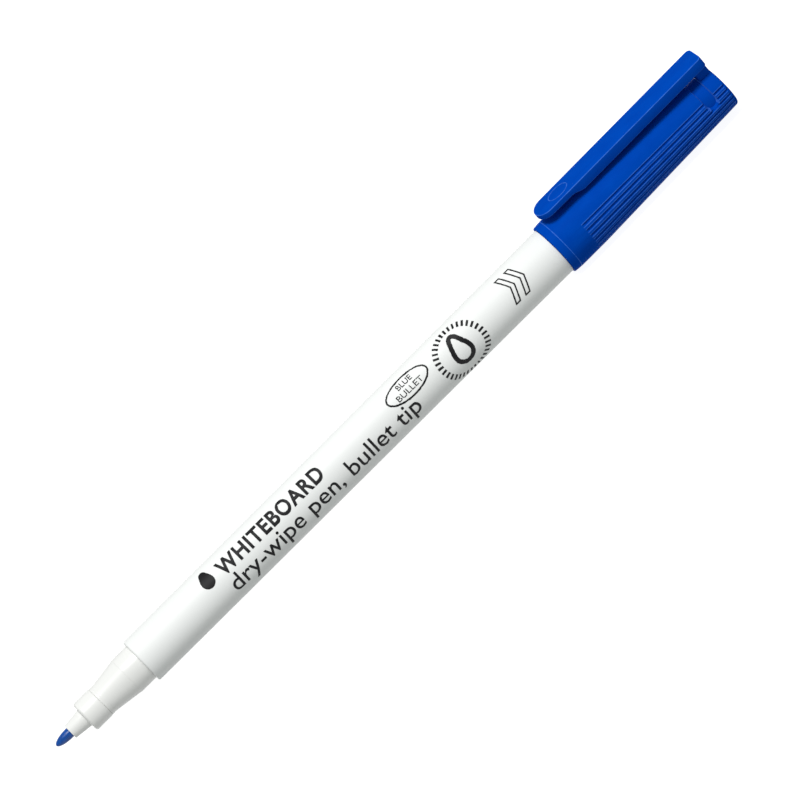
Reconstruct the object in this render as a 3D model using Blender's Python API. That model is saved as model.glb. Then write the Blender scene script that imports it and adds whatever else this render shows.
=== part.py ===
"""Slim whiteboard marker with its cap posted on the rear end.

The pen lies along +X: nib at -X, the cap's closed end at +X, the clip on top (+Z).
The origin is the centre of the bounding box's bottom, so the cap's mouth rests on Z = 0.
Turned pieces are modelled along their own X axis and hung on empties on the pen's axis.
"""

import math

import bmesh
import bpy
from mathutils import Vector

MM = 0.001

# ---------------------------------------------------------------- driving sizes, millimetres
# Fits
FIT = 0.05                    # radial clearance between pieces that slide or press together
FACE_GAP = 0.12               # axial gap between faces that butt

# Nib: a fibre rod with a bullet point
NIB_D = 1.87
NIB_POINT_LENGTH = 3.2        # stands out of the nozzle
NIB_IN_RESERVOIR = 5.0        # pushed into the reservoir
BULLET_POWER = 2.2            # 2 is an ellipse, more is blunter

# Nib holder: nozzle, collar and a stem that is pressed into the front section
NOZZLE_LENGTH = 3.35
NOZZLE_RIM = 0.40             # wall at the nozzle's front end
NOZZLE_FLARE = 0.37           # how much the nozzle's radius grows to its root
COLLAR_D = 5.87
COLLAR_LENGTH = 3.65
COLLAR_EDGE = 0.45
STEM_SHOULDER = 0.80          # the stem is smaller than the collar by this radius
STEM_LENGTH = 7.0

# Front section: cone, cap seat and a stem that is pressed into the barrel
SEAT_D = 7.22                 # the cap grips this diameter at both ends of the pen
SEAT_LENGTH = 3.42
CONE_LENGTH = 5.85
CONE_STEP = 0.07              # radial step at each end of the cone
SECTION_STEM_LENGTH = 6.2
SECTION_WALL = 0.9

# Barrel: a drafted tube with a straight bore
BARREL_LENGTH = 96.1
BARREL_FRONT_WALL = 0.67
BARREL_REAR_WALL = 0.88
BARREL_EDGE = 0.35

# Ink reservoir and its film, which fill the barrel between front section and plug
RESERVOIR_PLAY = 0.10         # radial play of the wrapped reservoir in the barrel's bore
WRAP_FILM = 0.10
WRAP_OVERHANG = 0.4           # the fibre stands out of the film by this at each end

# End plug: spigot in the barrel, flange on its end face, stub for the posted cap
SPIGOT_LENGTH = 5.0
PLUG_WALL = 0.9
FLANGE_THICKNESS = 0.8
FLANGE_INSET = 0.24           # the flange is smaller than the barrel's end by this radius
STUB_LENGTH = 6.15
STUB_EDGE = 0.5

# Cap shell
CAP_LENGTH = 39.1
CAP_PROUD = 0.53              # the cap's radius over the barrel's rear end
CAP_STRAIGHT = 7.3            # cylindrical stretch behind the mouth
CAP_TAPER = math.radians(1.54)
CAP_LIP_LENGTH = 1.3          # rounded-off stretch at the mouth
CAP_LIP_DROP = 0.22
CAP_END_WALL = 1.3
CAP_END_BEVEL = 0.5
MOUTH_RECESS = 1.0            # counterbore at the mouth, clear of barrel and flange
MOUTH_CLEARANCE = 0.12
GRIP_LENGTH = 4.0             # land that grips the seat or the stub
GRIP_LEAD = 0.3

# Grooves moulded along the cap, and the recess beside the clip's root
GROOVES = 19
GROOVES_PER_TURN = 28
GROOVE_SHARE = 0.5            # groove width over pitch
GROOVE_FLANK = 0.12           # each sloping flank over pitch
GROOVE_DEPTH = 0.30
GROOVE_START = 5.6            # from the mouth
GROOVE_RUN_IN = 0.6
RECESS_FROM_END = 2.7
RECESS_WIDTH = 2.2
RECESS_DEPTH = 0.35
RECESS_REACH = math.radians(82.0)
RECESS_SIDE = math.radians(1.5)

# Vent holes through the closed end
VENT_HOLES = 3
VENT_D = 1.1
VENT_CIRCLE_D = 4.0

# Inner cap: closes round the collar when the pen is capped
SEAL_CLEARANCE = 0.05
SEAL_LEAD = 0.53              # the seal starts this far past the capped collar's rear edge
SEAL_FLARE_LENGTH = 2.0
SEAL_FLARE = 0.45
SEAL_SEAT_LENGTH = 3.8        # from the seal's start to the shoulder
POINT_ROOM = 1.2              # free space past the capped nib's point
SEAL_FLOOR = 0.9
SEAL_WALL = 0.68
SEAL_NOSE_WALL = 0.38
SHELL_RELIEF = 0.22           # free bore over the inner cap's seat
SHELL_END_BORE_DROP = 0.45    # the bore narrows by this radius to the end wall

# Clip
CLIP_WIDTH = 4.7
CLIP_THICKNESS = 1.9
CLIP_TIP_THICKNESS = 1.05
CLIP_MOUTH_OFFSET = 1.5       # tip to the cap's mouth
CLIP_TIP_PORTION = 6.5        # thin stretch behind the tip
CLIP_STEP_LENGTH = 2.6        # S-shaped step of the underside
CLIP_ROOT_GAP = 1.8           # underside over the cap at the closed end
CLIP_DROP = 0.4               # the outer face falls by this from root to tip
CLIP_EDGE = 0.12
CLIP_END_ROUND = 0.45
BOSS_LENGTH = 2.4             # moulded post that carries the clip's root
BOSS_WIDTH = 3.4
BOSS_SINK = 0.85              # depth of the post in the cap's wall
HINGE_FROM_END = 0.4

# Facets round the pieces
SEGMENTS = 48
SMALL_SEGMENTS = 24
VENT_SEGMENTS = 12
CLIP_TIP_STATIONS = 8
CLIP_STEP_STATIONS = 6
BULLET_RINGS = 7
EDGE_RINGS = 3
SMOOTH_STEPS = 9              # from the clip's middle to the first groove

# ---------------------------------------------------------------- sizes that follow from them
NIB_BORE_R = NIB_D / 2 + FIT
NOZZLE_FRONT_R = NIB_BORE_R + NOZZLE_RIM
COLLAR_R = COLLAR_D / 2
STEM_R = COLLAR_R - STEM_SHOULDER
SEAT_R = SEAT_D / 2
BARREL_BORE_R = SEAT_R + FIT
BARREL_FRONT_R = BARREL_BORE_R + BARREL_FRONT_WALL
BARREL_REAR_R = BARREL_BORE_R + BARREL_REAR_WALL
WRAP_R = BARREL_BORE_R - RESERVOIR_PLAY
RESERVOIR_R = WRAP_R - WRAP_FILM - FIT
FLANGE_R = BARREL_REAR_R - FLANGE_INSET

CAP_R = BARREL_REAR_R + CAP_PROUD
CAP_END_R = CAP_R - math.tan(CAP_TAPER) * (CAP_LENGTH - CAP_STRAIGHT)
MOUTH_RECESS_R = max(BARREL_FRONT_R, FLANGE_R) + MOUTH_CLEARANCE
GRIP_R = SEAT_R + FIT
SEAL_R = COLLAR_R + SEAL_CLEARANCE
SEAL_SEAT_R = SEAL_R + SEAL_WALL
SEAL_NOSE_R = SEAL_R + SEAL_NOSE_WALL
SHELL_SEAT_R = SEAL_SEAT_R + FIT
SHELL_BORE_R = SEAL_NOSE_R + FIT
SHELL_RELIEF_R = max(SHELL_SEAT_R, GRIP_R) + SHELL_RELIEF

# Stations along the pen, from the nib's point
NOZZLE_START = NIB_POINT_LENGTH
COLLAR_START = NOZZLE_START + NOZZLE_LENGTH
CONE_START = COLLAR_START + COLLAR_LENGTH + FACE_GAP
SEAT_START = CONE_START + CONE_LENGTH
BARREL_START = SEAT_START + SEAT_LENGTH
STEM_END = COLLAR_START + COLLAR_LENGTH + STEM_LENGTH
SECTION_END = BARREL_START + SECTION_STEM_LENGTH
RESERVOIR_START = SECTION_END + FACE_GAP
BARREL_END = BARREL_START + BARREL_LENGTH
RESERVOIR_LENGTH = BARREL_END - SPIGOT_LENGTH - FACE_GAP - RESERVOIR_START
FLANGE_START = BARREL_END + FACE_GAP
STUB_START = FLANGE_START + FLANGE_THICKNESS
CAP_START = STUB_START + FACE_GAP - MOUTH_RECESS
PEN_LENGTH = CAP_START + CAP_LENGTH

# The inner cap, from the cap's mouth: it takes the collar and the nib when the pen is capped
SEAL_START = MOUTH_RECESS + BARREL_START - CONE_START + SEAL_LEAD
SEAL_SHOULDER = SEAL_START + SEAL_SEAT_LENGTH
SEAL_FLOOR_X = MOUTH_RECESS + BARREL_START + POINT_ROOM
SEAL_END = SEAL_FLOOR_X + SEAL_FLOOR

# The clip, in the cap's own coordinates: x from the mouth, z from the pen's axis
CLIP_START_X = CLIP_MOUTH_OFFSET
CLIP_END_X = CAP_LENGTH
CLIP_UNDER_Z = CAP_END_R + CLIP_ROOT_GAP
CLIP_TOP_Z = CLIP_UNDER_Z + CLIP_THICKNESS
CLIP_TIP_UNDER_Z = CLIP_TOP_Z - CLIP_DROP - CLIP_TIP_THICKNESS
HINGE_X = CAP_LENGTH - HINGE_FROM_END
HINGE_Z = CLIP_UNDER_Z


# ---------------------------------------------------------------- helpers
def clear_scene():
    for item in list(bpy.data.objects):
        bpy.data.objects.remove(item, do_unlink=True)


def plastic(name, colour, roughness, metallic=0.0):
    """A Principled material with one colour."""
    material = bpy.data.materials.new(name)
    material.use_nodes = True
    shader = material.node_tree.nodes["Principled BSDF"]
    shader.inputs["Base Color"].default_value = (*colour, 1.0)
    shader.inputs["Roughness"].default_value = roughness
    shader.inputs["Metallic"].default_value = metallic
    return material


def empty(name, location, parent=None):
    item = bpy.data.objects.new(name, None)
    item.location = Vector(location) * MM
    item.parent = parent
    bpy.context.collection.objects.link(item)
    return item


def face_outward(bm):
    """Point all faces of one closed body outwards."""
    bmesh.ops.recalc_face_normals(bm, faces=bm.faces)
    if bm.calc_volume(signed=True) < 0.0:
        bmesh.ops.reverse_faces(bm, faces=bm.faces)


def add_object(name, bm, material, parent, x=0.0, z=0.0):
    """Turn a bmesh in millimetres into an object placed under an empty."""
    bmesh.ops.scale(bm, vec=Vector((MM, MM, MM)), verts=bm.verts)
    mesh = bpy.data.meshes.new(name)
    bm.to_mesh(mesh)
    bm.free()
    mesh.materials.append(material)
    mesh.shade_smooth()
    mesh.set_sharp_from_angle(angle=math.radians(35.0))
    item = bpy.data.objects.new(name, mesh)
    item.location = (x * MM, 0.0, z * MM)
    item.parent = parent
    bpy.context.collection.objects.link(item)
    return item


def turned(outline, segments):
    """Spin an outline of (x, radius) points once round the X axis."""
    bm = bmesh.new()
    verts = [bm.verts.new((x, 0.0, radius)) for x, radius in outline]
    edges = [bm.edges.new(pair) for pair in zip(verts, verts[1:])]
    on_axis = outline[0][1] == 0.0 and outline[-1][1] == 0.0
    if not on_axis:
        edges.append(bm.edges.new((verts[-1], verts[0])))
    bmesh.ops.spin(bm, geom=verts + edges, cent=(0, 0, 0), axis=(1, 0, 0),
                   angle=math.tau, steps=segments, use_merge=True)
    bmesh.ops.remove_doubles(bm, verts=bm.verts, dist=0.001)
    face_outward(bm)
    return bm


def round_edge(x, radius, size, into_x):
    """Outline points of a rounded outer edge from the end face at x to the side."""
    points = []
    for step in range(EDGE_RINGS + 1):
        angle = math.pi / 2 * step / EDGE_RINGS
        points.append((x + into_x * size * (1 - math.cos(angle)),
                       radius - size * (1 - math.sin(angle))))
    return points


def ring_loft(rings, angles):
    """Join rings of (x, radius function) into a skin closed by a point at both ends.

    The first and the last ring are fanned to a point on the axis.
    """
    bm = bmesh.new()
    loops = []
    for x, radius_at in rings:
        loop = []
        for angle in angles:
            radius = radius_at(angle)
            loop.append(bm.verts.new((x, -radius * math.sin(angle), radius * math.cos(angle))))
        loops.append(loop)
    count = len(angles)
    for first, second in zip(loops, loops[1:]):
        for i in range(count):
            j = (i + 1) % count
            bm.faces.new((first[i], first[j], second[j], second[i]))
    for loop, x in ((loops[0], rings[0][0]), (loops[-1], rings[-1][0])):
        tip = bm.verts.new((x, 0.0, 0.0))
        for i in range(count):
            bm.faces.new((loop[i], loop[(i + 1) % count], tip))
    face_outward(bm)
    return bm


def hide_cutter(item):
    item.hide_render = True
    item.display_type = "WIRE"
    return item


def boolean(item, other, operation):
    modifier = item.modifiers.new(other.name, "BOOLEAN")
    modifier.operation = operation
    modifier.object = other
    modifier.solver = "EXACT"


# ---------------------------------------------------------------- pen pieces
def make_nib(parent, material):
    """Fibre rod with a bullet point."""
    radius = NIB_D / 2
    outline = [(0.0, 0.0)]
    for ring in range(1, BULLET_RINGS + 1):
        share = (ring / BULLET_RINGS) ** 1.6
        bulge = math.sqrt(1.0 - (1.0 - share) ** BULLET_POWER)
        outline.append((NIB_POINT_LENGTH * share, radius * bulge))
    end = RESERVOIR_START + NIB_IN_RESERVOIR
    outline += [(end, radius), (end, 0.0)]
    return add_object("nib", turned(outline, SMALL_SEGMENTS), material, parent)


def make_nib_holder(parent, material):
    """Nozzle and collar in front, stem behind, one bore right through."""
    root_r = NOZZLE_FRONT_R + NOZZLE_FLARE
    collar = NOZZLE_LENGTH
    shoulder = collar + COLLAR_LENGTH
    end = shoulder + STEM_LENGTH
    outline = [(0.0, NIB_BORE_R), (0.0, NOZZLE_FRONT_R), (collar, root_r)]
    outline += round_edge(collar, COLLAR_R, COLLAR_EDGE, 1)
    outline += [(shoulder, COLLAR_R), (shoulder, STEM_R), (end, STEM_R), (end, NIB_BORE_R)]
    return add_object("nib_holder", turned(outline, SEGMENTS), material, parent, NOZZLE_START)


def make_front_section(parent, material):
    """Cone, cap seat and a hollow stem in the barrel."""
    front_r = COLLAR_R - CONE_STEP
    back_r = SEAT_R - CONE_STEP
    seat = CONE_LENGTH
    end = SECTION_END - CONE_START
    pocket = STEM_END - CONE_START + FACE_GAP
    bore_r = STEM_R + FIT
    hollow_r = SEAT_R - SECTION_WALL
    outline = [(0.0, bore_r), (0.0, front_r), (seat, back_r), (seat, SEAT_R),
               (end, SEAT_R), (end, hollow_r), (pocket, hollow_r), (pocket, bore_r)]
    return add_object("front_section", turned(outline, SEGMENTS), material, parent, CONE_START)


def make_barrel(parent, material):
    """Drafted tube with a straight bore and a rounded front edge."""
    outline = [(0.0, BARREL_BORE_R)]
    outline += round_edge(0.0, BARREL_FRONT_R, BARREL_EDGE, 1)
    outline += [(BARREL_LENGTH, BARREL_REAR_R), (BARREL_LENGTH, BARREL_BORE_R)]
    return add_object("barrel", turned(outline, SEGMENTS), material, parent, BARREL_START)


def make_reservoir(parent, material):
    """Fibre rod with a blind hole for the nib."""
    hole = NIB_IN_RESERVOIR + FACE_GAP
    outline = [(hole, 0.0), (hole, NIB_BORE_R), (0.0, NIB_BORE_R), (0.0, RESERVOIR_R),
               (RESERVOIR_LENGTH, RESERVOIR_R), (RESERVOIR_LENGTH, 0.0)]
    return add_object("ink_reservoir", turned(outline, SEGMENTS), material, parent,
                      RESERVOIR_START)


def make_wrap(parent, material):
    """Film round the reservoir."""
    start = WRAP_OVERHANG
    end = RESERVOIR_LENGTH - WRAP_OVERHANG
    inner = WRAP_R - WRAP_FILM
    outline = [(start, inner), (start, WRAP_R), (end, WRAP_R), (end, inner)]
    return add_object("reservoir_wrap", turned(outline, SEGMENTS), material, parent,
                      RESERVOIR_START)


def make_end_plug(parent, material):
    """Hollow spigot, flange on the barrel's end and the stub that the cap grips."""
    spigot_r = BARREL_BORE_R - FIT
    bore_r = spigot_r - PLUG_WALL
    spigot = BARREL_END - SPIGOT_LENGTH - FLANGE_START
    stub_end = FLANGE_THICKNESS + STUB_LENGTH
    outline = [(0.0, 0.0), (0.0, bore_r), (spigot, bore_r), (spigot, spigot_r), (0.0, spigot_r)]
    outline += [(0.0, FLANGE_R), (FLANGE_THICKNESS, FLANGE_R), (FLANGE_THICKNESS, SEAT_R)]
    outline += reversed(round_edge(stub_end, SEAT_R, STUB_EDGE, -1))
    outline += [(stub_end, 0.0)]
    return add_object("end_plug", turned(outline, SEGMENTS), material, parent, FLANGE_START)


# ---------------------------------------------------------------- cap pieces
def cap_radius(x):
    """Outer radius of the plain cap at a distance from the mouth."""
    return CAP_R - math.tan(CAP_TAPER) * max(0.0, x - CAP_STRAIGHT)


def groove_angles():
    """Angles round the cap, from the clip, that hold every corner of the grooves."""
    pitch = math.tau / GROOVES_PER_TURN
    half = pitch * GROOVE_SHARE / 2
    flank = pitch * GROOVE_FLANK
    corners = []
    floors = []
    for index in range(GROOVES):
        centre = math.pi + (index - (GROOVES - 1) / 2) * pitch
        corners += [centre - half, centre - half + flank, centre + half - flank, centre + half]
        floors.append((centre - half + flank / 2, centre + half - flank / 2))
    reach = RECESS_REACH
    side = RECESS_SIDE
    corners += [reach, reach + side, -reach + math.tau, -reach - side + math.tau]
    smooth_end = min(corners)
    for step in range(1 - SMOOTH_STEPS, SMOOTH_STEPS):
        corners.append((smooth_end * step / SMOOTH_STEPS) % math.tau)
    corners.append(math.pi)
    return sorted(corners), floors


def make_cap_shell(parent, material):
    """Ribbed shell: grip land, seat for the inner cap, closed vented end and the clip's post."""
    angles, floors = groove_angles()

    def plain(radius):
        return lambda angle: radius

    def grooved(x, depth, recess=0.0):
        def radius_at(angle):
            cut = depth if any(low < angle < high for low, high in floors) else 0.0
            from_clip = min(angle, math.tau - angle)
            if from_clip < RECESS_REACH + RECESS_SIDE / 2:
                cut = max(cut, recess)
            return cap_radius(x) - cut
        return radius_at

    end = CAP_LENGTH
    groove_full = GROOVE_START + GROOVE_RUN_IN
    recess_back = end - RECESS_FROM_END
    recess_front = recess_back - RECESS_WIDTH
    wall = 0.1
    outer = [(0.0, plain(CAP_R - CAP_LIP_DROP)),
             (CAP_LIP_LENGTH * 0.4, plain(CAP_R - CAP_LIP_DROP * 0.35)),
             (CAP_LIP_LENGTH, plain(CAP_R)),
             (GROOVE_START, plain(cap_radius(GROOVE_START))),
             (groove_full, grooved(groove_full, GROOVE_DEPTH)),
             (CAP_STRAIGHT, grooved(CAP_STRAIGHT, GROOVE_DEPTH)),
             (recess_front - wall, grooved(recess_front - wall, GROOVE_DEPTH)),
             (recess_front, grooved(recess_front, GROOVE_DEPTH, RECESS_DEPTH)),
             (recess_back, grooved(recess_back, GROOVE_DEPTH, RECESS_DEPTH)),
             (recess_back + wall, grooved(recess_back + wall, GROOVE_DEPTH)),
             (end - CAP_END_BEVEL, grooved(end - CAP_END_BEVEL, GROOVE_DEPTH)),
             (end - CAP_END_BEVEL * 0.3, plain(CAP_END_R - CAP_END_BEVEL * 0.45)),
             (end, plain(CAP_END_R - CAP_END_BEVEL))]

    relief_start = MOUTH_RECESS + GRIP_LENGTH
    seat_start = SEAL_START - SEAL_FLARE_LENGTH
    seat_end = SEAL_SHOULDER + FACE_GAP
    floor = end - CAP_END_WALL
    inner = [(0.0, plain(MOUTH_RECESS_R)),
             (MOUTH_RECESS, plain(MOUTH_RECESS_R)),
             (MOUTH_RECESS, plain(GRIP_R + GRIP_LEAD)),
             (MOUTH_RECESS + GRIP_LEAD, plain(GRIP_R)),
             (relief_start, plain(GRIP_R)),
             (relief_start + SHELL_RELIEF, plain(SHELL_RELIEF_R)),
             (seat_start - SHELL_RELIEF, plain(SHELL_RELIEF_R)),
             (seat_start, plain(SHELL_SEAT_R)),
             (seat_end, plain(SHELL_SEAT_R)),
             (seat_end, plain(SHELL_BORE_R)),
             (SEAL_END, plain(SHELL_BORE_R)),
             (floor, plain(SHELL_BORE_R - SHELL_END_BORE_DROP))]
    shell = add_object("cap_shell", ring_loft(list(reversed(outer)) + inner, angles),
                       material, parent)

    post = bmesh.new()
    bmesh.ops.create_cube(post, size=1.0)
    post_low = CAP_END_R - BOSS_SINK
    post_high = CLIP_UNDER_Z - FACE_GAP
    bmesh.ops.scale(post, vec=Vector((BOSS_LENGTH, BOSS_WIDTH, post_high - post_low)),
                    verts=post.verts)
    bmesh.ops.translate(post, vec=Vector((end - BOSS_LENGTH / 2 - FACE_GAP, 0.0,
                                          (post_low + post_high) / 2)), verts=post.verts)
    boolean(shell, hide_cutter(add_object("clip_post", post, material, parent)), "UNION")

    vents = bmesh.new()
    for index in range(VENT_HOLES):
        angle = math.tau * (index + 0.5) / VENT_HOLES
        x = end - CAP_END_WALL / 2
        made = bmesh.ops.create_cone(vents, cap_ends=True, segments=VENT_SEGMENTS, radius1=VENT_D / 2,
                                     radius2=VENT_D / 2, depth=CAP_END_WALL * 2)
        for vert in made["verts"]:
            across, up, along = vert.co
            vert.co = (x + along, across + VENT_CIRCLE_D / 2 * math.sin(angle),
                       up + VENT_CIRCLE_D / 2 * math.cos(angle))
    boolean(shell, hide_cutter(add_object("vent_cutter", vents, material, parent)), "DIFFERENCE")
    return shell


def make_inner_cap(parent, material):
    """Cup that closes round the collar, with a flared mouth and a shoulder."""
    start = SEAL_START - SEAL_FLARE_LENGTH
    outline = [(SEAL_FLOOR_X, 0.0), (SEAL_FLOOR_X, SEAL_R), (SEAL_START, SEAL_R),
               (start, SEAL_R + SEAL_FLARE), (start, SEAL_SEAT_R),
               (SEAL_SHOULDER, SEAL_SEAT_R), (SEAL_SHOULDER, SEAL_NOSE_R)]
    outline += [(SEAL_END - SEAL_NOSE_WALL, SEAL_NOSE_R), (SEAL_END, SEAL_NOSE_R - SEAL_NOSE_WALL),
                (SEAL_END, 0.0)]
    return add_object("inner_cap", turned(outline, SEGMENTS), material, parent)


def clip_top(x):
    """Height of the clip's straight outer face."""
    return CLIP_TOP_Z - CLIP_DROP * (CLIP_END_X - x) / (CLIP_END_X - CLIP_START_X)


def clip_under(x):
    """Height of the clip's underside, with its S-shaped step."""
    step_start = CLIP_START_X + CLIP_TIP_PORTION
    share = min(1.0, max(0.0, (x - step_start) / CLIP_STEP_LENGTH))
    smooth = share * share * (3.0 - 2.0 * share)
    behind = max(0.0, x - step_start - CLIP_STEP_LENGTH)
    straight = clip_top(x) - CLIP_THICKNESS if behind or share else CLIP_TIP_UNDER_Z
    return CLIP_TIP_UNDER_Z + (straight - CLIP_TIP_UNDER_Z) * smooth


def make_clip(parent, material):
    """Arm with a half-round tip, lofted from chamfered sections along its length."""
    half = CLIP_WIDTH / 2
    tip_end = CLIP_START_X + half
    step_start = CLIP_START_X + CLIP_TIP_PORTION
    stations = []
    for step in range(1, CLIP_TIP_STATIONS + 1):
        angle = math.pi / 2 * step / CLIP_TIP_STATIONS
        stations.append((tip_end - half * math.cos(angle), half * math.sin(angle)))
    for step in range(CLIP_STEP_STATIONS + 1):
        stations.append((step_start + CLIP_STEP_LENGTH * step / CLIP_STEP_STATIONS, half))
    stations.append((CLIP_END_X - CLIP_END_ROUND, half))

    bm = bmesh.new()
    loops = []

    def section(x, half_width, top):
        edge = min(CLIP_EDGE, half_width * 0.4)
        low = clip_under(x)
        corners = [(-half_width, low + edge), (-half_width, top - edge), (-half_width + edge, top),
                   (half_width - edge, top), (half_width, top - edge), (half_width, low + edge),
                   (half_width - edge, low), (-half_width + edge, low)]
        loops.append([bm.verts.new((x - HINGE_X, y, z - HINGE_Z)) for y, z in corners])

    for x, half_width in stations:
        section(x, half_width, clip_top(x))
    for step in range(1, EDGE_RINGS + 1):
        angle = math.pi / 2 * step / EDGE_RINGS
        x = CLIP_END_X - CLIP_END_ROUND * (1 - math.sin(angle))
        section(x, half, clip_top(x) - CLIP_END_ROUND * (1 - math.cos(angle)))
    for first, second in zip(loops, loops[1:]):
        for i in range(len(first)):
            j = (i + 1) % len(first)
            bm.faces.new((first[i], first[j], second[j], second[i]))
    bm.faces.new(loops[0])
    bm.faces.new(loops[-1])
    face_outward(bm)
    return add_object("pocket_clip", bm, material, parent)


# ---------------------------------------------------------------- the marker
def main():
    clear_scene()
    ink_blue = (0.006, 0.065, 0.45)
    white = plastic("barrel_white", (0.88, 0.88, 0.87), 0.42)
    gloss_white = plastic("section_white", (0.90, 0.90, 0.89), 0.18)
    cap_blue = plastic("cap_blue", ink_blue, 0.38)
    natural = plastic("natural_liner", (0.80, 0.81, 0.80), 0.35)
    fibre = plastic("inked_fibre", (0.004, 0.045, 0.30), 0.75)
    film = plastic("clear_film", (0.75, 0.80, 0.88), 0.15)

    pen_axis = empty("pen_axis", (-PEN_LENGTH / 2, 0.0, CAP_R))
    make_nib(pen_axis, fibre)
    make_nib_holder(pen_axis, gloss_white)
    make_front_section(pen_axis, gloss_white)
    make_barrel(pen_axis, white)
    make_reservoir(pen_axis, fibre)
    make_wrap(pen_axis, film)
    make_end_plug(pen_axis, cap_blue)

    cap_axis = empty("cap_axis", (CAP_START, 0.0, 0.0), pen_axis)
    make_cap_shell(cap_axis, cap_blue)
    make_inner_cap(cap_axis, natural)
    clip_hinge = empty("clip_hinge", (HINGE_X, 0.0, HINGE_Z), cap_axis)
    make_clip(clip_hinge, cap_blue)


main()
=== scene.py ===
"""Looks of a slim whiteboard marker with its cap posted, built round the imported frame.

Laid out as an add-on: sizes and colours are properties, each piece has an operator, and main()
calls them in order. The pen lies along +X with its nib at -X and the clip on top (+Z).
"""

import math

import bmesh
import bpy
from bpy.props import (FloatProperty, FloatVectorProperty, IntProperty, PointerProperty,
                       StringProperty)
from mathutils import Matrix, Vector


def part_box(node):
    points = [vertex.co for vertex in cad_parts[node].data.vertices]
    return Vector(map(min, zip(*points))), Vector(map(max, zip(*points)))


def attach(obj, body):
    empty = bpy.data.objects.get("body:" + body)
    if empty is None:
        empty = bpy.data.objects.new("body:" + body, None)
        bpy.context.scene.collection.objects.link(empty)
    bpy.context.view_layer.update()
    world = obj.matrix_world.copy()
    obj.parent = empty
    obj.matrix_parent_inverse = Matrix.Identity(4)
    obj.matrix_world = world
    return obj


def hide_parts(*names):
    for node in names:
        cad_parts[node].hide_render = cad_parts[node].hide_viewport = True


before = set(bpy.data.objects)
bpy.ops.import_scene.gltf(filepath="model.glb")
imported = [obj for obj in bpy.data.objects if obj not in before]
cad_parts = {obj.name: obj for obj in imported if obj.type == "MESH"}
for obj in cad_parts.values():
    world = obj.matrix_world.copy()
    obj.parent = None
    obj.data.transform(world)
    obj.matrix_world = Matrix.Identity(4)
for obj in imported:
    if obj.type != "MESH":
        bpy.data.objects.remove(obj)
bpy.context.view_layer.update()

bl_info = {
    "name": "Whiteboard Marker",
    "version": (1, 0, 0),
    "blender": (4, 5, 0),
    "location": "3D View > Sidebar > Marker",
    "description": "Builds a slim whiteboard marker with its cap posted, piece by piece",
    "category": "Add Mesh",
}

MM = 0.001
WELD = 1e-6                    # points closer than this are one point

# ---------------------------------------------------------------- places read from the frame
NIB_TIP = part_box("nib")[0].x
AXIS_Z = (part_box("barrel")[0].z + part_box("barrel")[1].z) / 2
AXIS = Vector((0.0, 0.0, AXIS_Z))


def span(node):
    """Where a CAD node starts and ends along the pen, and its largest radius."""
    low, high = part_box(node)
    return low.x, high.x, (high.y - low.y) / 2


NOZZLE_X, HOLDER_END_X, COLLAR_R = span("nib_holder")
CONE_X, SECTION_END_X, SEAT_R = span("front_section")
BARREL_X, BARREL_END_X, BARREL_REAR_R = span("barrel")
PLUG_X, PLUG_END_X, FLANGE_R = span("end_plug")
MOUTH_X, CAP_END_X, CAP_R = span("cap_shell")
SEAL_X, SEAL_END_X, SEAL_SEAT_R = span("inner_cap")
CLIP_X, CLIP_END_X, CLIP_HALF = span("pocket_clip")
CLIP_TOP_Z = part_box("pocket_clip")[1].z
NIB_R = span("nib")[2]

# ---------------------------------------------------------------- fixed sizes, millimetres
FIT = 0.05
FACE_GAP = 0.12                # between faces that butt
STEM_STEP = 0.80               # the holder's stem is thinner than its collar by this radius
COLLAR_LENGTH = 3.65
COLLAR_START = 3.35            # from the nozzle's front end
HOLDER_EDGE = 0.45
CONE_STEP = 0.07
SEAT_LENGTH = 3.42             # in front of the barrel
SECTION_WALL = 0.9
BARREL_FRONT_WALL = 0.67
BARREL_EDGE = 0.35
CAP_STRAIGHT = 7.3
CAP_TAPER = math.tan(math.radians(1.54))
GROOVES = 19
GROOVES_PER_TURN = 28
GROOVE_FLANK = 0.12            # one sloping side of a groove over the pitch
CAP_END_WALL = 1.3
VENT_CIRCLE_R = 2.0
CLIP_THICKNESS = 1.9
CLIP_DROP = 0.4                # the outer face falls by this towards the tip
CLIP_STEP_START = 6.5          # the underside's step, from the tip
CLIP_STEP_RUN = 2.6
WORDS_X = 38.95                # start of both lines of words, from the nib's tip
PLAIN_STEPS = 6                # facets of one smooth pitch of the cap
RIB_SHINE = 0.08 * MM          # strip beside each rib's edge that carries the painted highlight
LIP_LINE = 1.5                 # small step behind the mouth
RECESS_ROUND = 0.82            # radius of the recess's floor over the cap's


class MarkerSizes(bpy.types.PropertyGroup):
    """Sizes of the marker's finer features."""

    turned_steps: IntProperty(
        name="Facets", description="Facets round the turned pieces", default=128, min=32, max=512)
    groove_depth: FloatProperty(
        name="Groove depth", description="Depth of the grooves along the cap",
        default=0.30 * MM, unit="LENGTH", precision=5)
    groove_start: FloatProperty(
        name="Groove start", description="Where the grooves start, from the cap's mouth",
        default=5.6 * MM, unit="LENGTH", precision=5)
    rib_edge: FloatProperty(
        name="Rib edge", description="Rounding along the edges of the cap's ribs",
        default=0.06 * MM, unit="LENGTH", precision=5)
    recess_width: FloatProperty(
        name="Recess width", description="Width of the recess beside the clip's root",
        default=2.05 * MM, unit="LENGTH", precision=5)
    recess_depth: FloatProperty(
        name="Recess depth", description="Depth of the recess beside the clip's root",
        default=0.35 * MM, unit="LENGTH", precision=5)
    recess_reach: FloatProperty(
        name="Recess reach", description="How far round the cap the recess goes, each way",
        default=math.radians(88.0), subtype="ANGLE")
    clip_edge: FloatProperty(
        name="Clip edge", description="Rounding along the edges of the clip",
        default=0.11 * MM, unit="LENGTH", precision=5)
    ink_film: FloatProperty(
        name="Ink film", description="Thickness of the print on the barrel",
        default=0.03 * MM, unit="LENGTH", precision=5)


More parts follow.
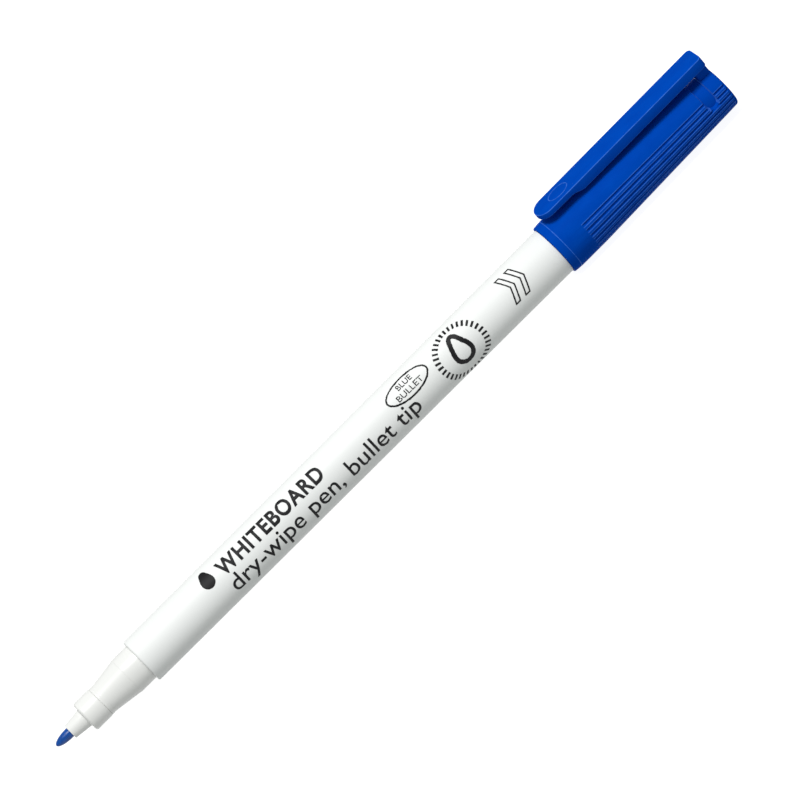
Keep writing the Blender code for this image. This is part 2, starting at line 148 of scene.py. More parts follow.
class MarkerColours(bpy.types.PropertyGroup):
    """Colours and print of the marker."""

    barrel: FloatVectorProperty(
        name="Barrel", description="Satin white of the barrel", subtype="COLOR", size=3,
        default=(0.86, 0.87, 0.86), min=0.0, max=1.0)
    section: FloatVectorProperty(
        name="Front section", description="Glossy white of the front section and the nib holder",
        subtype="COLOR", size=3, default=(0.84, 0.84, 0.82), min=0.0, max=1.0)
    cap: FloatVectorProperty(
        name="Cap", description="Blue of the cap, the clip and the end plug", subtype="COLOR",
        size=3, default=(0.0, 0.059, 0.43), min=0.0, max=1.0)
    ink: FloatVectorProperty(
        name="Inked nib", description="Blue of the fibre soaked with ink", subtype="COLOR", size=3,
        default=(0.001, 0.062, 0.31), min=0.0, max=1.0)
    liner: FloatVectorProperty(
        name="Inner cap", description="Natural colour of the inner cap", subtype="COLOR", size=3,
        default=(0.76, 0.78, 0.74), min=0.0, max=1.0)
    print_black: FloatVectorProperty(
        name="Print", description="Black of the print on the barrel", subtype="COLOR", size=3,
        default=(0.008, 0.008, 0.009), min=0.0, max=1.0)
    bold_words: StringProperty(
        name="Bold words", description="The large words on the barrel", default="WHITEBOARD")
    thin_words: StringProperty(
        name="Thin words", description="The line of small words on the barrel",
        default="dry-wipe pen, bullet tip")


class MarkerStage(bpy.types.PropertyGroup):
    """Camera and light."""

    camera_distance: FloatProperty(
        name="Camera distance", description="From the camera to the pen's axis",
        default=1.2, unit="LENGTH")
    camera_foot: FloatProperty(
        name="Camera foot", description="The point of the axis that faces the camera, from the nib",
        default=5.0 * MM, unit="LENGTH", precision=5)
    elevation: FloatProperty(
        name="Elevation", description="Height of the camera over the pen", subtype="ANGLE",
        default=math.radians(32.0))
    lens: FloatProperty(
        name="Lens", description="Focal length of the camera", subtype="DISTANCE_CAMERA",
        default=328.25)
    turn: FloatProperty(
        name="Turn", description="Slope of the pen in the view", subtype="ANGLE",
        default=math.radians(44.88))
    key_power: FloatProperty(
        name="Key light", description="Power of the large light over the pen", subtype="POWER",
        default=7.8)
    back_power: FloatProperty(
        name="Back light", description="Power of the light behind the pen", subtype="POWER",
        default=0.15)
    fill: FloatProperty(
        name="Fill", description="Strength of the even light from all sides", default=0.43)


# ---------------------------------------------------------------- shader maths
class Value:
    """One socket of a material's nodes. Arithmetic on it adds Math nodes."""

    def __init__(self, finish, socket):
        self.finish = finish
        self.socket = socket

    def math(self, operation, first, second):
        return self.finish.add("ShaderNodeMath", {"operation": operation}, {0: first, 1: second})

    def __add__(self, other):
        return self.math("ADD", self, other)

    def __rsub__(self, other):
        return self.math("SUBTRACT", other, self)

    def __mul__(self, other):
        return self.math("MULTIPLY", self, other)


class Finish:
    """A material in the making: one Principled shader and the nodes that feed it."""

    def __init__(self, name):
        self.material = bpy.data.materials.new(name)
        self.material.use_nodes = True
        self.tree = self.material.node_tree
        self.shader = self.tree.nodes["Principled BSDF"]
        self.place = self.add("ShaderNodeTexCoord", output="Object")

    def add(self, kind, settings=None, inputs=None, output=0):
        """Add a node: its settings first, then the values or links of its sockets."""
        node = self.tree.nodes.new(kind)
        for key, value in (settings or {}).items():
            if key == "stops":
                self.stops(node.color_ramp, value)
            else:
                setattr(node, key, value)
        self.feed(node, inputs or {})
        return Value(self, node.outputs[output])

    def stops(self, ramp, stops):
        for index, (position, colour) in enumerate(stops):
            stop = ramp.elements[index] if index < 2 else ramp.elements.new(position)
            stop.position = position
            stop.color = colour

    def feed(self, node, inputs):
        for key, value in inputs.items():
            if isinstance(value, Value):
                self.tree.links.new(value.socket, node.inputs[key])
            else:
                node.inputs[key].default_value = value

    def noise(self, scale, detail=2.0, stretch=(1.0, 1.0, 1.0)):
        """Noise on the piece's own place; scale is in features per metre."""
        place = self.add("ShaderNodeMapping", None, {"Vector": self.place, "Scale": stretch})
        return self.add("ShaderNodeTexNoise", None, {
            "Vector": place, "Scale": scale, "Detail": detail, "Roughness": 0.5})

    def mix(self, factor, first, second):
        """Colour between two colours."""
        return self.add("ShaderNodeMix", {"data_type": "RGBA"},
                        {0: factor, 6: first, 7: second}, output=2)

    def ramp(self, factor, low, high):
        """A value squeezed so that low gives 0 and high gives 1."""
        return self.add("ShaderNodeMapRange", None, {
            "Value": factor, "From Min": low, "From Max": high})

    def bump(self, height, depth, strength=1.0):
        self.feed(self.shader, {"Normal": self.add("ShaderNodeBump", None, {
            "Height": height, "Distance": depth, "Strength": strength})})

    def set(self, **values):
        self.feed(self.shader, {key.replace("_", " "): value for key, value in values.items()})
        return self.material


def rgba(colour, gain=1.0):
    return (*[min(1.0, part * gain) for part in colour], 1.0)


def satin_white(colour):
    """Moulded white polypropylene with a fine eroded grain."""
    finish = Finish("satin_white_plastic")
    grain = finish.noise(9000.0, 3.0)
    drift = finish.noise(90.0, 2.0, (0.35, 1.0, 1.0))
    flow = finish.noise(600.0, 3.0, (0.15, 1.0, 1.0))
    tone = finish.mix(finish.ramp(drift + flow * 0.3, 0.45, 0.85), rgba(colour, 0.985),
                      rgba(colour, 1.01))
    finish.bump(grain + flow * 0.4, 0.004 * MM, 0.5)
    return finish.set(Base_Color=tone, Roughness=drift * 0.06 + grain * 0.06 + 0.40,
                      Specular_IOR_Level=0.22)


def gloss_white(colour):
    """Polished white polypropylene with faint flow marks."""
    finish = Finish("gloss_white_plastic")
    drift = finish.noise(180.0, 2.0, (0.4, 1.0, 1.0))
    flow = finish.noise(1500.0, 3.0, (0.12, 1.0, 1.0))
    tone = finish.mix(drift, rgba(colour, 0.98), rgba(colour, 1.01))
    finish.bump(flow, 0.003 * MM, 0.4)
    return finish.set(Base_Color=tone, Roughness=drift * 0.05 + flow * 0.05 + 0.26,
                      Specular_IOR_Level=0.42)


def blue_plastic(colour):
    """Blue polypropylene with a fine grain and a trace of mottled pigment."""
    finish = Finish("blue_cap_plastic")
    grain = finish.noise(7000.0, 4.0)
    cloud = finish.noise(700.0, 3.0, (0.4, 1.0, 1.0))
    light = (colour[0], colour[1] * 1.06, colour[2] * 1.04)
    dark = (colour[0], colour[1] * 0.88, colour[2] * 0.93)
    tone = finish.mix(finish.ramp(cloud + grain * 0.35, 0.4, 0.95), rgba(dark), rgba(light))
    finish.bump(grain + cloud * 0.6, 0.006 * MM, 0.6)
    return finish.set(Base_Color=tone, Roughness=cloud * 0.08 + grain * 0.06 + 0.32,
                      Specular_IOR_Level=0.002)


def edge_highlight_blue(colour):
    """The same blue, paler and smoother: a painted highlight along the edges that are given it."""
    finish = Finish("blue_painted_edge_highlight")
    highlight_noise = finish.noise(2500.0, 3.0, (0.25, 1.0, 1.0))
    # Painted highlight: the blue is mixed towards this paler blue, patchy by the noise.
    pale = (0.036, 0.145, 0.60)
    tone = finish.mix(finish.ramp(highlight_noise, 0.20, 0.55), rgba(colour), rgba(pale))
    finish.bump(highlight_noise, 0.003 * MM, 0.4)
    return finish.set(Base_Color=tone, Roughness=0.30 - highlight_noise * 0.08, Specular_IOR_Level=0.02)


def inked_fibre(colour):
    """Pressed fibre rod soaked with ink: streaks along the rod, darker where the ink gathers."""
    finish = Finish("inked_fibre")
    streaks = finish.noise(9000.0, 3.0, (0.06, 1.0, 1.0))
    pools = finish.noise(1400.0, 2.0)
    tone = finish.mix(finish.ramp(streaks + pools * 0.5, 0.5, 1.0), rgba(colour, 0.72),
                      rgba(colour, 1.3))
    finish.bump(streaks, 0.02 * MM, 0.7)
    return finish.set(Base_Color=tone, Roughness=streaks * 0.15 + 0.20, Specular_IOR_Level=0.35)


def natural_plastic(colour):
    """Unpigmented polypropylene, slightly milky."""
    finish = Finish("natural_plastic")
    cloud = finish.noise(800.0, 3.0)
    tone = finish.mix(cloud, rgba(colour, 0.95), rgba(colour, 1.04))
    finish.bump(cloud, 0.004 * MM, 0.5)
    return finish.set(Base_Color=tone, Roughness=cloud * 0.1 + 0.28, Specular_IOR_Level=0.5)


def wrap_film():
    """Thin drawn film with fine stretch lines."""
    finish = Finish("reservoir_film")
    lines = finish.noise(5000.0, 3.0, (0.02, 1.0, 1.0))
    tone = finish.mix(lines, (0.66, 0.72, 0.80, 1.0), (0.78, 0.82, 0.88, 1.0))
    finish.bump(lines, 0.01 * MM, 0.5)
    return finish.set(Base_Color=tone, Roughness=lines * 0.1 + 0.12)


def print_ink(colour):
    """Pad-printed ink film, with a slightly uneven gloss."""
    finish = Finish("print_ink")
    speck = finish.noise(12000.0, 3.0)
    tone = finish.mix(finish.ramp(speck, 0.55, 0.75), rgba(colour), rgba(colour, 2.2))
    finish.bump(speck, 0.003 * MM, 0.5)
    return finish.set(Base_Color=tone, Roughness=speck * 0.15 + 0.42, Specular_IOR_Level=0.15)


def floor_paper():
    """Pale seamless studio floor."""
    finish = Finish("pale_floor")
    cloud = finish.noise(3.0, 2.0)
    tone = finish.mix(cloud, (0.28, 0.28, 0.28, 1.0), (0.32, 0.32, 0.32, 1.0))
    return finish.set(Base_Color=tone, Roughness=cloud * 0.05 + 0.9, Specular_IOR_Level=0.0,
                      Emission_Color=(1.0, 1.0, 1.0, 1.0), Emission_Strength=0.92)


# ---------------------------------------------------------------- modelling helpers
def edit_mode():
    bpy.ops.object.mode_set(mode="EDIT")


def object_mode():
    bpy.ops.object.mode_set(mode="OBJECT")


def select_all():
    bpy.ops.mesh.select_all(action="SELECT")


def deselect():
    if bpy.context.mode != "OBJECT":
        object_mode()
    bpy.ops.object.select_all(action="DESELECT")


def named(name):
    piece = bpy.context.active_object
    piece.name = piece.data.name = name
    return piece


def activate(piece):
    deselect()
    piece.select_set(True)
    bpy.context.view_layer.objects.active = piece


def bake_place():
    bpy.ops.object.transform_apply(location=True, rotation=True, scale=True)


def extrude(move):
    bpy.ops.mesh.extrude_region_move(TRANSFORM_OT_translate={"value": move})


def select(piece, kind, test):
    """In edit mode, select only the parts (VERT, EDGE or FACE) whose place or normal passes."""
    bpy.ops.mesh.select_mode(type=kind)
    bpy.ops.mesh.select_all(action="DESELECT")
    mesh = bmesh.from_edit_mesh(piece.data)
    parts = {"VERT": mesh.verts, "EDGE": mesh.edges, "FACE": mesh.faces}[kind]
    found = [part for part in parts if test(part)]
    if not found:
        raise RuntimeError(f"{piece.name}: nothing to select")
    for part in found:
        part.select_set(True)
    mesh.select_flush_mode()
    bmesh.update_edit_mesh(piece.data)


def close_skin(piece):
    """In edit mode: weld the doubles, point the faces outwards and leave edit mode."""
    select_all()
    bpy.ops.mesh.remove_doubles(threshold=WELD)
    bpy.ops.mesh.normals_make_consistent(inside=False)
    if bmesh.from_edit_mesh(piece.data).calc_volume(signed=True) < 0.0:
        bpy.ops.mesh.flip_normals()
    object_mode()


def start_line(name, points):
    """A line of edges through points, drawn in edit mode from a plane merged to one vertex."""
    deselect()
    bpy.ops.mesh.primitive_plane_add(size=MM)
    piece = named(name)
    edit_mode()
    bpy.ops.mesh.select_mode(type="VERT")
    bpy.ops.mesh.merge(type="CENTER")
    points = [Vector(point) for point in points]
    bpy.ops.transform.translate(value=points[0])
    for point, following in zip(points, points[1:]):
        bpy.ops.mesh.extrude_vertices_move(
            TRANSFORM_OT_translate={"value": following - point})
    return piece


def lathe(name, outline, steps):
    """Turn an outline of (X, radius) points once round the pen's axis."""
    piece = start_line(name, [(x, 0.0, AXIS_Z + radius) for x, radius in outline])
    select_all()
    bpy.ops.mesh.spin(steps=steps, angle=math.tau, center=AXIS, axis=(1, 0, 0))
    close_skin(piece)
    return piece


def arc(x, radius, size, start, stop, steps=4):
    """Outline points of a rounded edge about the centre (x, radius); angles from +X towards +R."""
    points = []
    for step in range(steps + 1):
        angle = math.radians(start + (stop - start) * step / steps)
        points.append((x + size * math.cos(angle), radius + size * math.sin(angle)))
    return points


def apply(piece, kind, name, **settings):
    """Add a modifier, set it and apply it."""
    activate(piece)
    modifier = piece.modifiers.new(name, kind)
    for key, value in settings.items():
        setattr(modifier, key, value)
    bpy.ops.object.modifier_apply(modifier=name)


def cut(piece, cutter, operation):
    """Join or subtract another shape, which is used up."""
    apply(piece, "BOOLEAN", "shape", object=cutter, operation=operation, solver="EXACT")
    bpy.data.objects.remove(cutter, do_unlink=True)


def hand_over(piece, material, body, slot, *nodes, angle=35.0):
    """Shade a finished piece, give it its material and tie it to the frame."""
    activate(piece)
    bpy.ops.object.shade_smooth_by_angle(angle=math.radians(angle))
    if material:
        piece.data.materials.clear()
        piece.data.materials.append(material)
    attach(piece, body)
    if nodes:
        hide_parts(*nodes)


def colours():
    return bpy.context.scene.marker_colours


def sizes():
    return bpy.context.scene.marker_sizes


def kept_material(maker, *colour):
    """A material is made once and shared by the pieces that use it."""
    name = maker.__name__
    if name not in MATERIALS:
        MATERIALS[name] = maker(*colour)
    return MATERIALS[name]


MATERIALS = {}


# ---------------------------------------------------------------- pen pieces
class MARKER_OT_barrel(bpy.types.Operator):
    """Add the barrel: a drafted tube with a rounded front edge"""

    bl_idname = "marker.barrel"
    bl_label = "Barrel"
    bl_options = {"REGISTER", "UNDO"}

    def execute(self, context):
        bore = SEAT_R + FIT * MM
        front = bore + BARREL_FRONT_WALL * MM
        edge = BARREL_EDGE * MM
        soft = 0.06 * MM
        outline = [(BARREL_X + 0.25 * MM, bore), (BARREL_X, bore + 0.10 * MM)]
        outline += arc(BARREL_X + edge, front - edge, edge, 180, 90, 6)
        outline += arc(BARREL_END_X - soft, BARREL_REAR_R - soft, soft, 90, 0, 3)
        outline += [(BARREL_END_X, bore), (BARREL_X + 0.25 * MM, bore)]
        piece = lathe("marker_barrel", outline, sizes().turned_steps)
        hand_over(piece, kept_material(satin_white, colours().barrel), "pen", "barrel_white",
                  "barrel")
        return {"FINISHED"}


class MARKER_OT_front_section(bpy.types.Operator):
    """Add the front section: the cone, the seat for the cap and the stem in the barrel"""

    bl_idname = "marker.front_section"
    bl_label = "Front Section"
    bl_options = {"REGISTER", "UNDO"}

    def execute(self, context):
        seat = BARREL_X - SEAT_LENGTH * MM
        step = CONE_STEP * MM
        front = COLLAR_R - step
        bore = COLLAR_R - (STEM_STEP - FIT) * MM
        hollow = SEAT_R - SECTION_WALL * MM
        pocket = HOLDER_END_X + FACE_GAP * MM
        soft = 0.12 * MM
        face = CONE_X - 0.11 * MM
        outline = [(face, bore), (face, front - soft)]
        outline += arc(face + soft, front - soft, soft, 180, 100, 4)
        outline += [(CONE_X + 0.42 * MM, front + 0.01 * MM),
                    (CONE_X + 0.50 * MM, front - 0.035 * MM),
                    (CONE_X + 0.72 * MM, front - 0.02 * MM)]
        outline += [(seat - 0.10 * MM, SEAT_R - step), (seat, SEAT_R - step + 0.01 * MM)]
        outline += arc(seat + 0.08 * MM, SEAT_R - 0.05 * MM, 0.05 * MM, 150, 90, 3)
        outline += [(SECTION_END_X - 0.3 * MM, SEAT_R), (SECTION_END_X, SEAT_R - 0.2 * MM),
                    (SECTION_END_X, hollow), (pocket, hollow), (pocket, bore), (face, bore)]
        piece = lathe("marker_front_section", outline, sizes().turned_steps)
        hand_over(piece, kept_material(gloss_white, colours().section), "pen", "section_white",
                  "front_section")
        return {"FINISHED"}


class MARKER_OT_nib_holder(bpy.types.Operator):
    """Add the nib holder: a flared nozzle, the collar and the stem"""

    bl_idname = "marker.nib_holder"
    bl_label = "Nib Holder"
    bl_options = {"REGISTER", "UNDO"}

    def execute(self, context):
        bore = NIB_R + FIT * MM
        nozzle = bore + 0.40 * MM
        root = nozzle + 0.37 * MM
        collar = NOZZLE_X + COLLAR_START * MM
        shoulder = collar + COLLAR_LENGTH * MM
        stem = COLLAR_R - STEM_STEP * MM
        edge = HOLDER_EDGE * MM
        rim = 0.10 * MM
        soft = 0.08 * MM
        outline = [(NOZZLE_X + 0.12 * MM, bore), (NOZZLE_X, bore + 0.08 * MM)]
        outline += arc(NOZZLE_X + rim, nozzle - rim, rim, 180, 95, 4)
        outline += [(collar - 0.10 * MM, root - 0.01 * MM), (collar, root + 0.10 * MM)]
        outline += arc(collar + edge, COLLAR_R - edge, edge, 180, 90, 7)
        outline += arc(shoulder - soft, COLLAR_R - soft, soft, 90, 0, 3)
        outline += [(shoulder, stem), (HOLDER_END_X, stem), (HOLDER_END_X, bore),
                    (NOZZLE_X + 0.12 * MM, bore)]
        piece = lathe("marker_nib_holder", outline, sizes().turned_steps)
        hand_over(piece, kept_material(gloss_white, colours().section), "pen", "section_white",
                  "nib_holder")
        return {"FINISHED"}


class MARKER_OT_nib(bpy.types.Operator):
    """Add the nib: a fibre rod with a bullet point"""

    bl_idname = "marker.nib"
    bl_label = "Nib"
    bl_options = {"REGISTER", "UNDO"}

    def execute(self, context):
        point = NOZZLE_X - NIB_TIP
        rings = 22
        outline = [(NIB_TIP, 0.0)]
        for ring in range(1, rings + 1):
            share = (ring / rings) ** 1.8
            bulge = math.sqrt(1.0 - (1.0 - share) ** 2.2)
            outline.append((NIB_TIP + point * share, NIB_R * bulge))
        end = span("nib")[1]
        outline += [(end, NIB_R), (end, 0.0)]
        piece = lathe("marker_nib", outline, 64)
        hand_over(piece, kept_material(inked_fibre, colours().ink), "pen", "inked_fibre", "nib")
        return {"FINISHED"}


class MARKER_OT_end_plug(bpy.types.Operator):
    """Add the end plug: the spigot, the flange and the stub that the posted cap grips"""

    bl_idname = "marker.end_plug"
    bl_label = "End Plug"
    bl_options = {"REGISTER", "UNDO"}

    def execute(self, context):
        bore = SEAT_R - 0.9 * MM
        flange = BARREL_END_X + FACE_GAP * MM
        face = flange + 0.8 * MM
        edge = 0.5 * MM
        soft = 0.10 * MM
        outline = [(flange, 0.0), (flange, bore), (PLUG_X, bore), (PLUG_X, SEAT_R),
                   (flange, SEAT_R), (flange, FLANGE_R - soft)]
        outline += arc(flange + soft, FLANGE_R - soft, soft, 180, 90, 3)
        outline += arc(face - soft, FLANGE_R - soft, soft, 90, 0, 3)
        outline += [(face, SEAT_R + 0.06 * MM), (face + 0.06 * MM, SEAT_R)]
        outline += arc(PLUG_END_X - edge, SEAT_R - edge, edge, 90, 0, 6)
        outline += [(PLUG_END_X, 1.3 * MM), (PLUG_END_X - 0.25 * MM, 1.0 * MM),
                    (PLUG_END_X - 0.25 * MM, 0.45 * MM), (PLUG_END_X - 0.15 * MM, 0.3 * MM),
                    (PLUG_END_X - 0.15 * MM, 0.0)]
        piece = lathe("marker_end_plug", outline, sizes().turned_steps)
        hand_over(piece, kept_material(blue_plastic, colours().cap), "pen", "cap_blue", "end_plug")
        return {"FINISHED"}


class MARKER_OT_inner_parts(bpy.types.Operator):
    """Give the reservoir and its film, which stay inside the barrel, their finish"""

    bl_idname = "marker.inner_parts"
    bl_label = "Reservoir Finish"
    bl_options = {"REGISTER", "UNDO"}

    def execute(self, context):
        finishes = {"ink_reservoir": kept_material(inked_fibre, colours().ink),
                    "reservoir_wrap": kept_material(wrap_film)}
        for node, material in finishes.items():
            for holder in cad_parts[node].material_slots:
                holder.material = material
        return {"FINISHED"}


# ---------------------------------------------------------------- cap pieces
def cap_radius(x):
    """Outer radius of the plain cap at a distance from its mouth."""
    return CAP_R - CAP_TAPER * max(0.0, x - CAP_STRAIGHT * MM)


def groove_profile(depth, edge):
    """Points (distance round the cap, depth share) from one rib's middle to the next rib's."""
    pitch = math.tau * CAP_R / GROOVES_PER_TURN
    flank = GROOVE_FLANK * pitch
    slope = math.atan2(depth, flank)
    setback = edge * math.tan(slope / 2)
    half = [(-pitch / 2, 0.0), (-pitch / 4 - setback - RIB_SHINE, 0.0)]
    turns = 4
    for step in range(turns + 1):
        angle = slope * step / turns
        half.append((-pitch / 4 - setback + edge * math.sin(angle),
                     edge * (1 - math.cos(angle)) / depth))
    for step in range(turns, -1, -1):
        angle = slope * step / turns
        half.append((-pitch / 4 + flank + setback - edge * math.sin(angle),
                     1.0 - edge * (1 - math.cos(angle)) / depth))
    return half + [(0.0, 1.0)] + [(-place, share) for place, share in reversed(half)]


def cap_stations(depth, start):
    """(X from the mouth, radius, groove depth) along the cap's skin, from end pole to end pole."""
    end = CAP_END_X - MOUTH_X
    end_r = cap_radius(end)
    edge = 0.5 * MM
    stations = [(end, 0.01 * MM, 0.0), (end, 1.2 * MM, 0.0), (end, 2.9 * MM, 0.0)]
    for x, radius in arc(end - edge, end_r - edge, edge, 0, 90, 7):
        stations.append((x, radius, max(0.0, radius - end_r + depth)))
    for x in (end - 2 * MM, end - 8 * MM, end - 16 * MM, CAP_STRAIGHT * MM):
        stations.append((x, cap_radius(x), depth))
    run_in = 0.75 * MM
    for step in range(6, -1, -1):
        share = step / 6
        stations.append((start + run_in * share, CAP_R, depth * math.sin(math.pi / 2 * share)))
    line = LIP_LINE * MM
    stations += [(line + 0.06 * MM, CAP_R, 0.0), (line - 0.06 * MM, CAP_R - 0.035 * MM, 0.0),
                 (1.0 * MM, CAP_R - 0.045 * MM, 0.0), (0.6 * MM, CAP_R - 0.09 * MM, 0.0)]
    lip = 0.16 * MM
    stations += [(x, radius, 0.0)
                 for x, radius in arc(lip, CAP_R - 0.13 * MM - lip, lip, 90, 180, 4)]
    recess = SEAT_R + 0.84 * MM
    grip = SEAT_R + FIT * MM
    relief = SEAL_SEAT_R + 0.27 * MM
    seat = SEAL_SEAT_R + FIT * MM
    seat_x = SEAL_X - MOUTH_X
    seat_end = seat_x + 3.92 * MM
    bore = seat - 0.30 * MM
    nose_x = SEAL_END_X - MOUTH_X
    floor = end - CAP_END_WALL * MM
    inside = [(0.0, recess + 0.12 * MM), (0.12 * MM, recess), (1.0 * MM, recess),
              (1.0 * MM, grip + 0.3 * MM), (1.3 * MM, grip), (5.0 * MM, grip),
              (5.22 * MM, relief), (seat_x - 0.22 * MM, relief), (seat_x, seat), (seat_end, seat),
              (seat_end, bore), (nose_x, bore), (floor, bore - 0.45 * MM), (floor, 0.01 * MM)]
    return stations + [(x, radius, 0.0) for x, radius in inside]


def skin_wedge(name, profile, stations):
    """One pitch of the cap: a profile drawn across it, then extruded along the cap's skin.

    Points of one depth share move together, by a scaling about the pen's axis.
    """
    x, radius, depth = stations[0]
    points = []
    for place, share in profile:
        angle = math.pi + place / CAP_R
        reach = radius - depth * share
        points.append((MOUTH_X + x, -reach * math.sin(angle), AXIS_Z + reach * math.cos(angle)))
    piece = start_line(name, points)
    select_all()
    shares = sorted({round(share, 4) for place, share in profile})
    angles = {share: [place / CAP_R for place, value in profile if round(value, 4) == share]
              for share in shares}
    for (x0, r0, d0), (x1, r1, d1) in zip(stations, stations[1:]):
        extrude((x1 - x0, 0.0, 0.0))
        if d0 == 0.0 and d1 == 0.0:
            scale = r1 / r0
            bpy.ops.transform.resize(value=(1.0, scale, scale), center_override=AXIS)
            continue
        mesh = bmesh.from_edit_mesh(piece.data)
        fresh = [vert for vert in mesh.verts if vert.select]
        turns = {vert.index: math.atan2(vert.co.y, AXIS_Z - vert.co.z) for vert in fresh}
        mesh.verts.index_update()
        for share in shares:
            scale = (r1 - d1 * share) / (r0 - d0 * share)
            select_turns(piece, turns, angles[share])
            bpy.ops.transform.resize(value=(1.0, scale, scale), center_override=AXIS)
        select_turns(piece, turns, [angle for group in angles.values() for angle in group])
    object_mode()
    return piece


def select_turns(piece, turns, wanted):
    """Of the freshly extruded points, select those at the wanted angles from the bottom."""
    mesh = bmesh.from_edit_mesh(piece.data)
    mesh.verts.ensure_lookup_table()
    for vert in mesh.verts:
        vert.select_set(False)
    for index, turn in turns.items():
        if any(abs(turn - angle) < 1e-4 for angle in wanted):
            mesh.verts[index].select_set(True)
    mesh.select_flush_mode()
    bmesh.update_edit_mesh(piece.data)


def wrap_round(piece, radius, angle, x, rise=0.0):
    """Bend a flat piece in the XZ plane round the pen, its middle at an angle from the top.

    The bend's centre is above the pen's axis by the rise.
    """
    heights = [vert.co.z for vert in piece.data.vertices]
    bend = (max(heights) - min(heights)) / radius
    apply(piece, "SIMPLE_DEFORM", "bend", deform_method="BEND", deform_axis="X", angle=bend)
    turn = Matrix.Rotation(angle - math.pi / 2, 4, "X")
    piece.matrix_world = (Matrix.Translation((x, 0.0, AXIS_Z + rise)) @ turn
                          @ Matrix.Translation((0.0, -radius, 0.0)))
    activate(piece)
    bake_place()


def flat_slot(name, length, width, rounding):
    """A flat slot in the XZ plane, long way up, its corners rounded."""
    deselect()
    bpy.ops.mesh.primitive_plane_add(size=1.0)
    piece = named(name)
    edit_mode()
    bpy.ops.transform.resize(value=(width, length, 1.0))
    bpy.ops.mesh.bevel(offset=rounding, segments=10, affect="VERTICES")
    for step in range(-39, 40):
        select_all()
        bpy.ops.mesh.bisect(plane_co=(0.0, length / 80 * step, 0.0), plane_no=(0, 1, 0))
    object_mode()
    return piece


def stand_up(piece):
    """Turn a flat piece from the XY plane into the XZ plane, facing -Y."""
    piece.rotation_euler = (math.pi / 2, 0.0, 0.0)
    activate(piece)
    bake_place()


def dress_blue(piece):
    """Give a piece the cap's plastic twice: the plain blue first, then the blue with a painted
    highlight.
    """
    for finish in (blue_plastic, edge_highlight_blue):
        piece.data.materials.append(kept_material(finish, colours().cap))


def paint_highlight(piece):
    """In edit mode, give the selected faces the blue with the painted highlight."""
    piece.active_material_index = 1
    bpy.ops.object.material_slot_assign()


def recess_cutter(radius, x, options):
    """The recess beside the clip's root: a slot with round ends and a flared rim.

    Its floor is rounder than the cap, so it is deepest at its two ends.
    """
    reach = options.recess_reach
    floor_r = RECESS_ROUND * radius
    rise = radius - options.recess_depth - floor_r
    length = 2 * floor_r * (reach + math.asin(rise * math.sin(reach) / radius))
    slot = flat_slot("recess_cutter", length, options.recess_width, options.recess_width * 0.49)
    stand_up(slot)
    edit_mode()
    select_all()
    extrude((0.0, -1.3 * MM, 0.0))
    flare = 0.45 * MM
    bpy.ops.transform.resize(value=(1.0 + 2 * flare / options.recess_width, 1.0,
                                    1.0 + 2 * flare / length), center_override=(0, 0, 0))
    dress_blue(slot)
    # The recess's side walls get a painted highlight.
    select(slot, "FACE", lambda face: abs(face.normal.x) > 0.6)
    paint_highlight(slot)
    close_skin(slot)
    wrap_round(slot, floor_r, 0.0, x, rise)
    return slot


